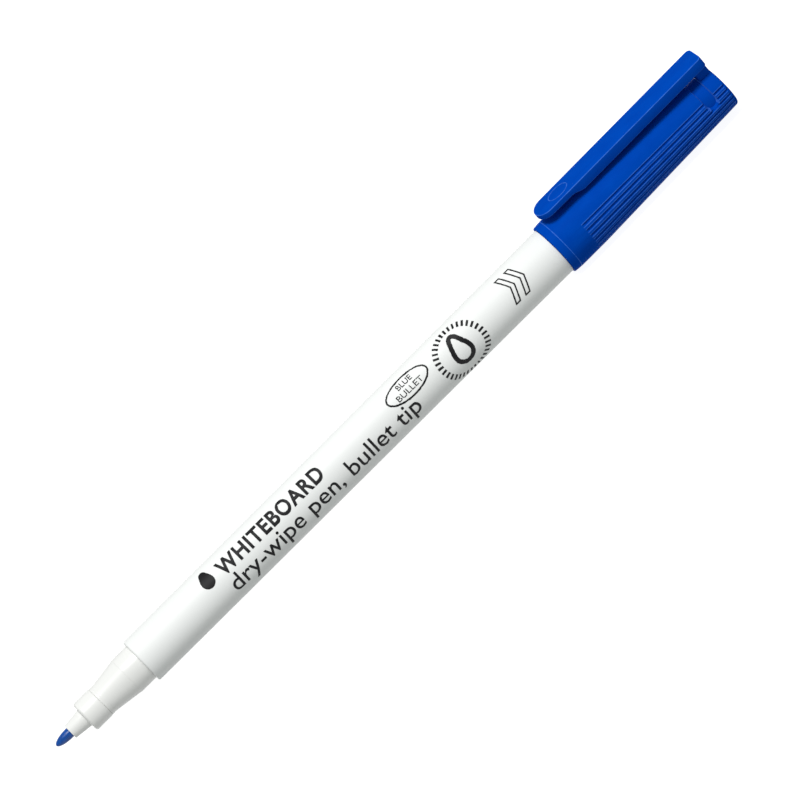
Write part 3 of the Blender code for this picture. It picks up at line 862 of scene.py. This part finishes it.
class MARKER_OT_cap(bpy.types.Operator):
    """Add the cap: ribs along it, a recess beside the clip, the clip's post and three vents"""

    bl_idname = "marker.cap"
    bl_label = "Cap"
    bl_options = {"REGISTER", "UNDO"}

    def execute(self, context):
        options = sizes()
        pitch = math.tau / GROOVES_PER_TURN
        stations = cap_stations(options.groove_depth, options.groove_start)
        ribbed = skin_wedge("marker_cap", groove_profile(options.groove_depth, options.rib_edge),
                            stations)
        plain_profile = [(CAP_R * pitch * (step / PLAIN_STEPS - 0.5), 0.0)
                         for step in range(PLAIN_STEPS + 1)]
        plain = skin_wedge("plain_wedge", plain_profile, [(x, r, 0.0) for x, r, _ in stations])
        dress_blue(ribbed)
        dress_blue(plain)
        self.turn_copies(ribbed, (GROOVES - 1) / 2, GROOVES)
        plain_count = GROOVES_PER_TURN - GROOVES
        self.turn_copies(plain, GROOVES_PER_TURN / 2 + (plain_count - 1) / 2, plain_count)

        activate(plain)
        ribbed.select_set(True)
        bpy.context.view_layer.objects.active = ribbed
        bpy.ops.object.join()
        edit_mode()
        for pole in (CAP_END_X, CAP_END_X - CAP_END_WALL * MM):
            select(ribbed, "VERT", lambda vert: abs(vert.co.x - pole) < 0.01 * MM
                   and (vert.co - AXIS).yz.length < 0.02 * MM)
            bpy.ops.mesh.merge(type="CENTER")
        close_skin(ribbed)
        self.mark_edges(ribbed, pitch, options)

        recess_x = CAP_END_X - 2.75 * MM - options.recess_width / 2
        cut(ribbed, recess_cutter(cap_radius(recess_x - MOUTH_X), recess_x, options), "DIFFERENCE")
        cut(ribbed, self.post(), "UNION")
        for hole in range(3):
            cut(ribbed, self.vent(math.tau * (hole + 0.5) / 3), "DIFFERENCE")
        hand_over(ribbed, None, "cap", "cap_blue", "cap_shell")
        return {"FINISHED"}

    def mark_edges(self, piece, pitch, options):
        """Paint a highlight on the line behind the lip and along both edges of each rib."""
        flank = GROOVE_FLANK * pitch * CAP_R
        setback = options.rib_edge * math.tan(math.atan2(options.groove_depth, flank) / 2)
        near = (pitch / 4 - options.rib_edge / CAP_R, pitch / 4 + (setback + RIB_SHINE) / CAP_R)

        def on_rib(x, turn):
            groove = round(turn / pitch)
            return (options.groove_start < x < CAP_END_X - MOUTH_X - 0.6 * MM
                    and abs(groove) <= GROOVES // 2
                    and near[0] < abs(turn - groove * pitch) < near[1])

        # Faces that get the painted highlight: the lip line and the strips along the rib edges.
        def gets_highlight(face):
            middle = face.calc_center_median()
            x = middle.x - MOUTH_X
            if math.hypot(middle.y, middle.z - AXIS_Z) < cap_radius(x) - 0.2 * MM:
                return False
            return abs(x - LIP_LINE * MM) < 0.05 * MM or on_rib(
                x, math.atan2(middle.y, AXIS_Z - middle.z))

        activate(piece)
        edit_mode()
        select(piece, "FACE", gets_highlight)
        paint_highlight(piece)
        object_mode()

    def turn_copies(self, piece, first, count):
        """Turn a wedge back by a number of pitches, then copy it round the pen."""
        pitch = math.tau / GROOVES_PER_TURN
        turn = Matrix.Rotation(first * pitch, 4, "X")
        piece.matrix_world = Matrix.Translation(AXIS) @ turn @ Matrix.Translation(-AXIS)
        activate(piece)
        bake_place()
        edit_mode()
        select_all()
        bpy.ops.mesh.spin(steps=count - 1, angle=pitch * (count - 1), center=AXIS,
                          axis=(1, 0, 0), dupli=True)
        object_mode()

    def post(self):
        """The post that carries the clip's root, its upright edges rounded."""
        length = 2.4 * MM
        width = 2.6 * MM
        low = cap_radius(CAP_END_X - MOUTH_X) - 0.85 * MM
        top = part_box("pocket_clip")[1].z - CLIP_THICKNESS * MM - FACE_GAP * MM
        half = (top - low - AXIS_Z) / 2
        setback = 0.12 * MM
        deselect()
        bpy.ops.mesh.primitive_cube_add(
            size=1.0, scale=(length, width, half),
            location=(CAP_END_X - length / 2 - setback, 0.0,
                      AXIS_Z + low + (top - low - AXIS_Z) / 4))
        block = named("clip_post")
        bake_place()
        edit_mode()
        select(block, "FACE", lambda face: face.normal.z > 0.9)
        extrude((0.0, 0.0, half))
        select(block, "EDGE", lambda edge: abs(edge.verts[0].co.z - edge.verts[1].co.z) > 0.1 * MM)
        bpy.ops.mesh.bevel(offset=0.35 * MM, segments=4, affect="EDGES")
        close_skin(block)
        dress_blue(block)
        return block

    def vent(self, angle):
        """One vent through the closed end, slightly flared."""
        radius = 0.55 * MM
        depth = 2.0 * MM
        centre = (0.0, -VENT_CIRCLE_R * MM * math.sin(angle),
                  AXIS_Z + VENT_CIRCLE_R * MM * math.cos(angle))
        deselect()
        bpy.ops.mesh.primitive_circle_add(
            vertices=24, radius=radius, fill_type="NGON", rotation=(0.0, math.pi / 2, 0.0),
            location=(CAP_END_X - depth, centre[1], centre[2]))
        hole = named("vent_cutter")
        bake_place()
        edit_mode()
        select_all()
        for rise, scale in ((depth - 0.08 * MM, 1.0), (0.5 * MM, 1.5)):
            extrude((rise, 0.0, 0.0))
            bpy.ops.transform.resize(value=(1.0, scale, scale), center_override=centre)
        close_skin(hole)
        dress_blue(hole)
        return hole


class MARKER_OT_inner_cap(bpy.types.Operator):
    """Add the inner cap: the cup that closes round the collar when the pen is capped"""

    bl_idname = "marker.inner_cap"
    bl_label = "Inner Cap"
    bl_options = {"REGISTER", "UNDO"}

    def execute(self, context):
        seal = COLLAR_R + FIT * MM
        nose = seal + 0.38 * MM
        shoulder = SEAL_X + 3.8 * MM
        floor = SEAL_END_X - 0.9 * MM
        soft = 0.08 * MM
        outline = [(floor, 0.0), (floor, seal - 0.3 * MM), (floor - 0.3 * MM, seal)]
        outline += [(SEAL_X + 2.0 * MM, seal), (SEAL_X, seal + 0.45 * MM)]
        outline += arc(SEAL_X + soft, SEAL_SEAT_R - soft, soft, 180, 90, 3)
        outline += [(shoulder, SEAL_SEAT_R), (shoulder, nose)]
        outline += arc(SEAL_END_X - 0.38 * MM, nose - 0.38 * MM, 0.38 * MM, 90, 0, 5)
        outline += [(SEAL_END_X, 0.0)]
        piece = lathe("marker_inner_cap", outline, sizes().turned_steps)
        hand_over(piece, kept_material(natural_plastic, colours().liner), "liner", "natural_liner",
                  "inner_cap")
        return {"FINISHED"}


def clip_heights(x):
    """Heights of the clip's outer face and of its stepped underside at a distance along the pen."""
    share = (CLIP_END_X - x) / (CLIP_END_X - CLIP_X)
    top = CLIP_TOP_Z - CLIP_DROP * MM * share
    thin_top = CLIP_TOP_Z - CLIP_DROP * MM
    thin_under = thin_top - 1.05 * MM
    step = min(1.0, max(0.0, (x - CLIP_X - CLIP_STEP_START * MM) / (CLIP_STEP_RUN * MM)))
    smooth = step * step * (3.0 - 2.0 * step)
    return top, thin_under + (top - CLIP_THICKNESS * MM - thin_under) * smooth


class MARKER_OT_clip(bpy.types.Operator):
    """Add the clip: a straight arm with a round, thinner tip, and its small raised ring"""

    bl_idname = "marker.clip"
    bl_label = "Clip"
    bl_options = {"REGISTER", "UNDO"}

    def execute(self, context):
        options = sizes()
        length = CLIP_END_X - CLIP_X
        deselect()
        bpy.ops.mesh.primitive_plane_add(size=1.0)
        clip = named("marker_clip")
        edit_mode()
        bpy.ops.transform.resize(value=(length, 2 * CLIP_HALF, 1.0))
        bpy.ops.transform.translate(value=((CLIP_X + CLIP_END_X) / 2, 0.0, 0.0))
        select(clip, "VERT", lambda vert: vert.co.x < CLIP_X + 1 * MM)
        bpy.ops.mesh.bevel(offset=CLIP_HALF * 0.995, segments=14, affect="VERTICES")
        select_all()
        extrude((0.0, 0.0, -1.0 * MM))
        cuts = [CLIP_X + (CLIP_STEP_START + CLIP_STEP_RUN * step / 10) * MM for step in range(11)]
        cuts += [CLIP_X + 4.5 * MM] + [CLIP_X + 12 * MM + 5 * MM * step for step in range(5)]
        for x in cuts:
            select_all()
            bpy.ops.mesh.bisect(plane_co=(x, 0.0, 0.0), plane_no=(1, 0, 0))
        self.set_heights(clip)
        close_skin(clip)

        edit_mode()
        select(clip, "EDGE", lambda edge: all(vert.co.x > CLIP_END_X - 0.01 * MM
                                              for vert in edge.verts)
               and abs(edge.verts[0].co.z - edge.verts[1].co.z) > 1.0 * MM)
        bpy.ops.mesh.bevel(offset=0.85 * MM, segments=6, affect="EDGES")
        object_mode()
        dress_blue(clip)
        # The bevel faces along the clip's edges take the second slot, the blue with a painted
        # highlight.
        apply(clip, "BEVEL", "edges", width=options.clip_edge, segments=3, limit_method="ANGLE",
              angle_limit=math.radians(40.0), material=1)
        hand_over(clip, None, "clip", "cap_blue", "pocket_clip", angle=40.0)
        self.ring()
        return {"FINISHED"}

    def set_heights(self, clip):
        """Lift every column of points of the flat blank to the clip's outer face and underside."""
        mesh = bmesh.from_edit_mesh(clip.data)
        columns = sorted({(round(vert.co.x, 7), round(vert.co.z, 4)) for vert in mesh.verts})
        for x, z in columns:
            top, under = clip_heights(x)
            target = top if z > -0.5 * MM else under
            select(clip, "VERT", lambda vert: abs(vert.co.x - x) < 1e-6
                   and abs(vert.co.z - z) < 0.1 * MM)
            bpy.ops.transform.translate(value=(0.0, 0.0, target - z))

    def ring(self):
        """A small raised oval ring on the clip's outer face, near its tip."""
        x = CLIP_X + 5.3 * MM
        deselect()
        bpy.ops.mesh.primitive_circle_add(vertices=64, radius=1.4 * MM, fill_type="NGON")
        ring = named("clip_raised_ring")
        edit_mode()
        bpy.ops.transform.resize(value=(1.5, 1.0, 1.0))
        bpy.ops.mesh.inset(thickness=0.16 * MM)
        bpy.ops.mesh.delete(type="FACE")
        select_all()
        extrude((0.0, 0.0, 0.08 * MM))
        close_skin(ring)
        slope = math.atan2(CLIP_DROP * MM, CLIP_END_X - CLIP_X)
        ring.matrix_world = (Matrix.Translation((x, 0.0, clip_heights(x)[0] - 0.03 * MM))
                             @ Matrix.Rotation(-slope, 4, "Y"))
        activate(ring)
        bake_place()
        apply(ring, "BEVEL", "edges", width=0.03 * MM, segments=2, limit_method="ANGLE",
              angle_limit=math.radians(60.0))
        # The whole raised ring is given the blue with the painted highlight, so it shows as a light
        # line.
        hand_over(ring, kept_material(edge_highlight_blue, colours().cap), "clip", "cap_blue")


# ---------------------------------------------------------------- print on the barrel
def barrel_radius(x):
    """Outer radius of the drafted barrel at a distance along the pen."""
    front = SEAT_R + (FIT + BARREL_FRONT_WALL) * MM
    return front + (BARREL_REAR_R - front) * (x - BARREL_X) / (BARREL_END_X - BARREL_X)


def lay_print(flat, x, angle):
    """Cut a flat print into narrow strips, wrap it round the barrel and give it its thickness."""
    activate(flat)
    edit_mode()
    select_all()
    bpy.ops.mesh.remove_doubles(threshold=WELD)
    high = max(vert.co.y for vert in flat.data.vertices)
    low = min(vert.co.y for vert in flat.data.vertices)
    strip = 0.25 * MM
    for step in range(1, int((high - low) / strip) + 1):
        select_all()
        bpy.ops.mesh.bisect(plane_co=(0.0, low + step * strip, 0.0), plane_no=(0, 1, 0))
    object_mode()
    stand_up(flat)
    wrap_round(flat, barrel_radius(x), angle, x)
    apply(flat, "SHRINKWRAP", "snug", target=bpy.data.objects["marker_barrel"],
          wrap_method="NEAREST_SURFACEPOINT", wrap_mode="ON_SURFACE")
    activate(flat)
    edit_mode()
    select_all()
    bpy.ops.mesh.normals_make_consistent(inside=False)
    mesh = bmesh.from_edit_mesh(flat.data)
    away = sum((face.normal.dot(Vector((0.0, face.calc_center_median().y,
                                        face.calc_center_median().z - AXIS_Z)))
                for face in mesh.faces))
    if away < 0.0:
        bpy.ops.mesh.flip_normals()
    object_mode()
    apply(flat, "SOLIDIFY", "film", thickness=sizes().ink_film, offset=1.0)
    hand_over(flat, kept_material(print_ink, colours().print_black), "pen", None, angle=30.0)


def flat_words(name, words, length, height=None, bold=0.0):
    """Words as a flat mesh whose lower left corner is the origin, scaled to a length and height."""
    deselect()
    bpy.ops.object.text_add()
    text = bpy.context.active_object
    text.data.body = words
    text.data.offset = bold
    text.data.space_character = 1.0 + 4.0 * bold
    text.data.resolution_u = 6
    bpy.ops.object.convert(target="MESH")
    flat = named(name)
    xs = [vert.co.x for vert in flat.data.vertices]
    ys = [vert.co.y for vert in flat.data.vertices]
    along = length / (max(xs) - min(xs))
    across = height / (max(ys) - min(ys)) if height else along
    flat.scale = (along, across, 1.0)
    flat.location = (-min(xs) * along, -min(ys) * across, 0.0)
    bake_place()
    return flat


def shift(flat, x, y):
    """Move a flat print in its own plane."""
    activate(flat)
    flat.location = (x, y, 0.0)
    bake_place()


def flat_ring(name, width, height, line, points=72):
    """A flat oval ring drawn with a line of even width."""
    deselect()
    bpy.ops.mesh.primitive_circle_add(vertices=points, radius=0.5, fill_type="NGON")
    ring = named(name)
    edit_mode()
    bpy.ops.transform.resize(value=(width, height, 1.0))
    bpy.ops.mesh.inset(thickness=line)
    bpy.ops.mesh.delete(type="FACE")
    object_mode()
    return ring


def outlined(name, points, line):
    """A flat closed shape drawn as an outline of even width."""
    shape = start_line(name, [(x, y, 0.0) for x, y in points])
    select_all()
    bpy.ops.mesh.edge_face_add()
    select_all()
    bpy.ops.mesh.inset(thickness=line)
    bpy.ops.mesh.delete(type="FACE")
    object_mode()
    return shape


def flat_drop(name, radius):
    """A flat solid drop: a disc whose upper points are drawn up to a tip."""
    deselect()
    bpy.ops.mesh.primitive_circle_add(vertices=48, radius=radius, fill_type="NGON")
    drop = named(name)
    edit_mode()
    for level in range(1, 13):
        share = level / 12
        select(drop, "VERT", lambda vert: vert.co.y > radius * math.sin(math.pi / 2 * share) - 1e-7
               and vert.co.y < 3 * radius)
        bpy.ops.transform.translate(value=(0.0, radius * 0.075, 0.0))
        bpy.ops.transform.resize(value=(1.0 - 0.06 * share, 1.0, 1.0), center_override=(0, 0, 0))
    object_mode()
    return drop


def merge_prints(first, *others):
    """Join flat prints into one piece."""
    activate(first)
    for other in others:
        other.select_set(True)
    bpy.context.view_layer.objects.active = first
    bpy.ops.object.join()
    return first


class MARKER_OT_print_words(bpy.types.Operator):
    """Add the two lines of generic words on the barrel"""

    bl_idname = "marker.print_words"
    bl_label = "Printed Words"
    bl_options = {"REGISTER", "UNDO"}

    def execute(self, context):
        view = math.pi / 2 - context.scene.marker_stage.elevation
        bold = flat_words("print_bold_words", colours().bold_words, 23.5 * MM, 2.95 * MM, 0.03)
        shift(bold, 0.0, -1.35 * MM)
        lay_print(bold, NIB_TIP + WORDS_X * MM, view - math.radians(19.0))
        thin = flat_words("print_thin_words", colours().thin_words, 42.9 * MM, None, 0.004)
        shift(thin, 0.0, -1.35 * MM)
        lay_print(thin, NIB_TIP + WORDS_X * MM, view + math.radians(41.0))
        return {"FINISHED"}


class MARKER_OT_print_marks(bpy.types.Operator):
    """Add the small generic marks on the barrel: a drop, an oval, a ticked ring, two chevrons"""

    bl_idname = "marker.print_marks"
    bl_label = "Printed Marks"
    bl_options = {"REGISTER", "UNDO"}

    def execute(self, context):
        view = math.pi / 2 - context.scene.marker_stage.elevation
        drop = flat_drop("print_drop", 1.25 * MM)
        lay_print(drop, NIB_TIP + 36.5 * MM, view - math.radians(20.0))

        oval = flat_ring("print_oval", 9.2 * MM, 4.2 * MM, 0.30 * MM)
        upper = flat_words("oval_upper", "BLUE", 3.2 * MM, 1.0 * MM)
        shift(upper, -1.6 * MM, 0.30 * MM)
        lower = flat_words("oval_lower", "BULLET", 5.6 * MM, 1.0 * MM)
        shift(lower, -2.8 * MM, -1.2 * MM)
        lay_print(merge_prints(oval, upper, lower), NIB_TIP + 82.35 * MM,
                  view - math.radians(17.0))

        ring = self.ticks()
        core = flat_drop("ring_drop", 2.05 * MM)
        shift(core, 0.0, -0.35 * MM)
        edit_mode()
        select_all()
        bpy.ops.mesh.inset(thickness=0.8 * MM)
        bpy.ops.mesh.delete(type="FACE")
        object_mode()
        lay_print(merge_prints(ring, core), NIB_TIP + 92.95 * MM, view + math.radians(14.0))

        lay_print(self.chevrons(), NIB_TIP + 106.75 * MM, view - math.radians(9.4))
        return {"FINISHED"}

    def ticks(self):
        """A ring of radial ticks, modelled once and copied round."""
        deselect()
        bpy.ops.mesh.primitive_plane_add(size=1.0)
        ring = named("print_ticked_ring")
        edit_mode()
        bpy.ops.transform.resize(value=(0.38 * MM, 1.05 * MM, 1.0))
        bpy.ops.transform.translate(value=(0.0, 4.65 * MM, 0.0))
        count = 34
        bpy.ops.mesh.spin(steps=count - 1, angle=math.tau * (count - 1) / count,
                          center=(0, 0, 0), axis=(0, 0, 1), dupli=True)
        object_mode()
        return ring

    def chevrons(self):
        """Two outlined chevrons side by side."""
        half = 2.85 * MM
        reach = 1.25 * MM
        thick = 1.15 * MM
        shapes = []
        for index in range(2):
            x = (index - 0.5) * 2.2 * MM - 1.15 * MM
            shapes.append(outlined(f"print_chevron_{index}", [
                (x, half), (x + thick, half), (x + thick + reach, 0.0), (x + thick, -half),
                (x, -half), (x + reach, 0.0)], 0.25 * MM))
        return merge_prints(*shapes)


# ---------------------------------------------------------------- stage
class MARKER_OT_stage(bpy.types.Operator):
    """Add the pale floor, the soft lights and the camera"""

    bl_idname = "marker.stage"
    bl_label = "Stage"
    bl_options = {"REGISTER", "UNDO"}

    def execute(self, context):
        stage = context.scene.marker_stage
        self.floor()
        world = bpy.data.worlds.new("even_light")
        world.use_nodes = True
        background = world.node_tree.nodes["Background"]
        background.inputs["Color"].default_value = (0.965, 1.0, 0.985, 1.0)
        background.inputs["Strength"].default_value = stage.fill
        context.scene.world = world
        view = math.pi / 2 - stage.elevation
        self.light("key_light", stage.key_power, 0.34, view - math.radians(42.0))
        self.light("back_light", stage.back_power, 0.60, view - math.radians(110.0))
        context.scene.view_settings.view_transform = "Standard"
        self.camera(context, stage)
        return {"FINISHED"}

    def floor(self):
        deselect()
        bpy.ops.mesh.primitive_plane_add(size=8.0)
        floor = named("studio_floor")
        edit_mode()
        select_all()
        bpy.ops.mesh.subdivide(number_cuts=3)
        object_mode()
        floor.data.materials.append(floor_paper())
        floor.visible_diffuse = False

    def light(self, name, power, size, angle):
        """A square soft light that faces the pen from an angle measured from the top to -Y."""
        away = Vector((0.0, -math.sin(angle), math.cos(angle)))
        lamp = bpy.data.lights.new(name, "AREA")
        lamp.shape = "SQUARE"
        lamp.size = size
        lamp.energy = power
        holder = bpy.data.objects.new(name, lamp)
        holder.location = AXIS + away * 1.0
        holder.rotation_euler = away.to_track_quat("Z", "Y").to_euler()
        bpy.context.scene.collection.objects.link(holder)

    def camera(self, context, stage):
        """A long lens; the pen crosses the view from the lower left to the upper right."""
        rise = stage.elevation
        away = Vector((0.0, -math.cos(rise), math.sin(rise)))
        place = Vector((NIB_TIP + stage.camera_foot, 0.0, AXIS_Z)) + away * stage.camera_distance
        aside = Vector((0.0, math.sin(rise), math.cos(rise)))
        target = Vector((NIB_TIP + 80.18 * MM, 0.0, AXIS_Z)) + aside * 0.437 * MM
        ahead = (target - place).normalized()
        along = Vector((1.0, 0.0, 0.0))
        along = (along - ahead * along.dot(ahead)).normalized()
        across = (-ahead).cross(along)
        right = along * math.cos(stage.turn) - across * math.sin(stage.turn)
        up = along * math.sin(stage.turn) + across * math.cos(stage.turn)
        lens = bpy.data.cameras.new("camera")
        lens.lens = stage.lens
        lens.clip_start = 0.01
        camera = bpy.data.objects.new("camera", lens)
        camera.matrix_world = Matrix.Translation(place) @ Matrix(
            (right, up, -ahead)).transposed().to_4x4()
        context.scene.collection.objects.link(camera)
        context.scene.camera = camera


# ---------------------------------------------------------------- panel and start
STEPS = (MARKER_OT_barrel, MARKER_OT_front_section, MARKER_OT_nib_holder, MARKER_OT_nib,
         MARKER_OT_end_plug, MARKER_OT_inner_parts, MARKER_OT_cap, MARKER_OT_inner_cap,
         MARKER_OT_clip, MARKER_OT_print_words, MARKER_OT_print_marks, MARKER_OT_stage)


class MARKER_PT_panel(bpy.types.Panel):
    """Buttons and sizes of the marker"""

    bl_label = "Whiteboard Marker"
    bl_idname = "MARKER_PT_panel"
    bl_space_type = "VIEW_3D"
    bl_region_type = "UI"
    bl_category = "Marker"

    def draw(self, context):
        for group in (context.scene.marker_sizes, context.scene.marker_colours,
                      context.scene.marker_stage):
            box = self.layout.box()
            for key in group.__annotations__:
                box.prop(group, key)
        for step in STEPS:
            self.layout.operator(step.bl_idname)


GROUPS = {"marker_sizes": MarkerSizes, "marker_colours": MarkerColours,
          "marker_stage": MarkerStage}


def register():
    for group in GROUPS.values():
        bpy.utils.register_class(group)
    for step in STEPS:
        bpy.utils.register_class(step)
    bpy.utils.register_class(MARKER_PT_panel)
    for name, group in GROUPS.items():
        setattr(bpy.types.Scene, name, PointerProperty(type=group))


def unregister():
    for name in GROUPS:
        delattr(bpy.types.Scene, name)
    bpy.utils.unregister_class(MARKER_PT_panel)
    for step in reversed(STEPS):
        bpy.utils.unregister_class(step)
    for group in GROUPS.values():
        bpy.utils.unregister_class(group)


def main():
    register()
    bpy.ops.marker.barrel()
    bpy.ops.marker.front_section()
    bpy.ops.marker.nib_holder()
    bpy.ops.marker.nib()
    bpy.ops.marker.end_plug()
    bpy.ops.marker.inner_parts()
    bpy.ops.marker.cap()
    bpy.ops.marker.inner_cap()
    bpy.ops.marker.clip()
    bpy.ops.marker.print_words()
    bpy.ops.marker.print_marks()
    bpy.ops.marker.stage()


if __name__ == "__main__":
    main()
